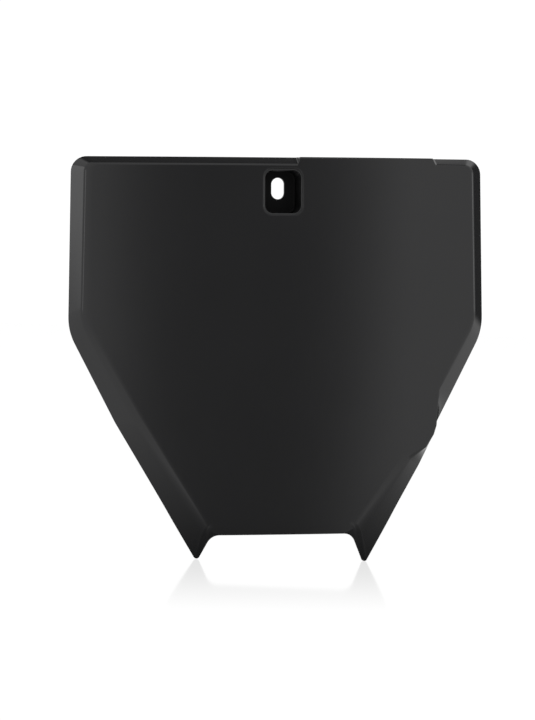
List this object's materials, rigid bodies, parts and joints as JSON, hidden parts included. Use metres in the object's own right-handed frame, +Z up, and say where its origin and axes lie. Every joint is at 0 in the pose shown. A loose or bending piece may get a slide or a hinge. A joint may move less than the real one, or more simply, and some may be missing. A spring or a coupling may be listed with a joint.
{
  "type": "front number plate",
  "caption": "Moulded front number plate for an off-road bike: bowed face, bevelled rim, pocket with an upright slot for the fixing screw, notch and prongs below",
  "frame": {"origin": "Middle of the slot for the fixing screw, on the back face of the pocket floor, which bears on the bike's bracket", "axes": "X across the plate, to the right seen from the front; +Y from the face to the back, towards the bike; Z up. The plate is thinnest along Y."},
  "size_m": [0.2538, 0.0225, 0.2444],
  "materials": {
    "number_plate": "gloss black"
  },
  "bodies": {
    "root": {"number_plate": "number_plate"}
  },
  "joints": []
}
